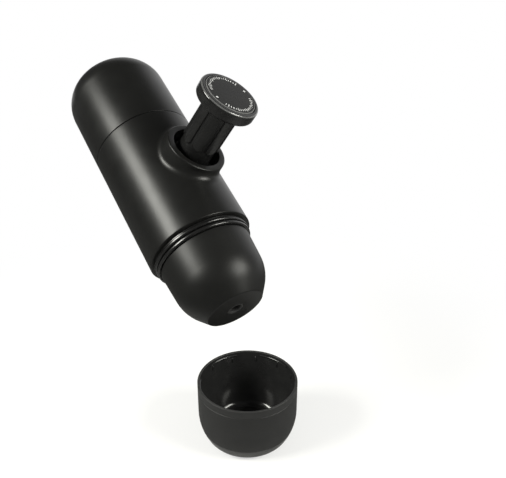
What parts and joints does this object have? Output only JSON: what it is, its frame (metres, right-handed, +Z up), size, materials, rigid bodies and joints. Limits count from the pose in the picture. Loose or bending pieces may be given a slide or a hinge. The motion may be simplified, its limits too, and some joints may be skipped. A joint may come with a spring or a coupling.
{
  "type": "handheld espresso maker",
  "caption": "Hand-pumped espresso maker: water tank, pump barrel with a side piston, outlet head with filter basket, held tilted over its separate round-bottomed cup.",
  "frame": {"origin": "middle of the cup's flat foot, on the table", "axes": "+Z up out of the cup, -Y towards the viewer, +X to the right; the maker is held tilted above the cup with its outlet down and its piston knob up and to the right"},
  "size_m": [0.1384, 0.15, 0.2157],
  "materials": {
    "shell_black": "satin moulded black",
    "cup_black": "matte dark grey outside, glossier inside",
    "gloss_black": "glossy black",
    "piston_black": "semi-gloss black",
    "cap_grey": "matte dark grey with printed ring",
    "inner_black": "moulded black",
    "steel": "stainless",
    "brass": "turned",
    "silicone": "silicone"
  },
  "bodies": {
    "barrel": {"main_body": "shell_black", "tank_seal": "silicone", "trim_ring_upper": "gloss_black", "trim_ring_lower": "gloss_black", "collar_guide": "inner_black", "pump_housing": "inner_black", "pump_cylinder": "steel", "return_spring": "steel", "valve_deck": "inner_black", "deck_screws": "steel", "inlet_valve_body": "brass", "suction_strainer": "steel", "outlet_tube": "inner_black", "outlet_spring": "steel", "chassis_posts": "inner_black", "group_plate": "inner_black", "shower_screen": "steel", "shower_screw": "steel", "group_gasket": "silicone"},
    "plunger": {"plunger_rod": "inner_black", "plunger_seal": "silicone"},
    "knob": {"piston_sleeve": "piston_black", "piston_knob": "piston_black", "knob_cap": "cap_grey", "knob_screw": "steel"},
    "tank": {"tank_shell": "shell_black"},
    "head": {"outlet_head": "shell_black", "spout_insert": "inner_black"},
    "basket": {"filter_basket": "steel"},
    "inlet_ball": {"inlet_ball": "steel"},
    "outlet_poppet": {"outlet_poppet": "silicone"},
    "cup": {"cup": "cup_black"}
  },
  "joints": [
    {"name": "piston_stroke", "type": "slide", "parent": "barrel", "child": "plunger", "axis": [0.5069, -0.2615, 0.8214], "range_m": [-0.03, 0], "stiffness_N_per_m": 297, "springref_m": 0.004, "deforming": ["return_spring"]},
    {"name": "knob_twist", "type": "hinge", "parent": "plunger", "child": "knob", "pos_m": [-0.04482, 0.03455, 0.14728], "axis": [0.5069, -0.2615, 0.8214], "range_deg": [0, 60]},
    {"name": "tank_off", "type": "slide", "parent": "barrel", "child": "tank", "axis": [-0.471, 0.714, 0.518], "range_m": [0, 0.07]},
    {"name": "head_off", "type": "slide", "parent": "barrel", "child": "head", "axis": [0.471, -0.714, -0.518], "range_m": [0, 0.05]},
    {"name": "basket_lift", "type": "slide", "parent": "head", "child": "basket", "axis": [-0.471, 0.714, 0.518], "range_m": [0, 0.02]},
    {"name": "inlet_ball_travel", "type": "slide", "parent": "barrel", "child": "inlet_ball", "axis": [-0.471, 0.714, 0.518], "range_m": [0, 0.001]},
    {"name": "outlet_valve_travel", "type": "slide", "parent": "barrel", "child": "outlet_poppet", "axis": [0.471, -0.714, -0.518], "range_m": [0, 0.0012], "stiffness_N_per_m": 774, "springref_m": -0.001, "deforming": ["outlet_spring"]},
    {"name": "cup_lift", "type": "slide", "parent": "barrel", "child": "cup", "axis": [0, 0, 1], "range_m": [0, 0.025]}
  ],
  "couplings": [
    {"joint": "basket_lift", "follows": "head_off", "ratio": 0.4}
  ]
}
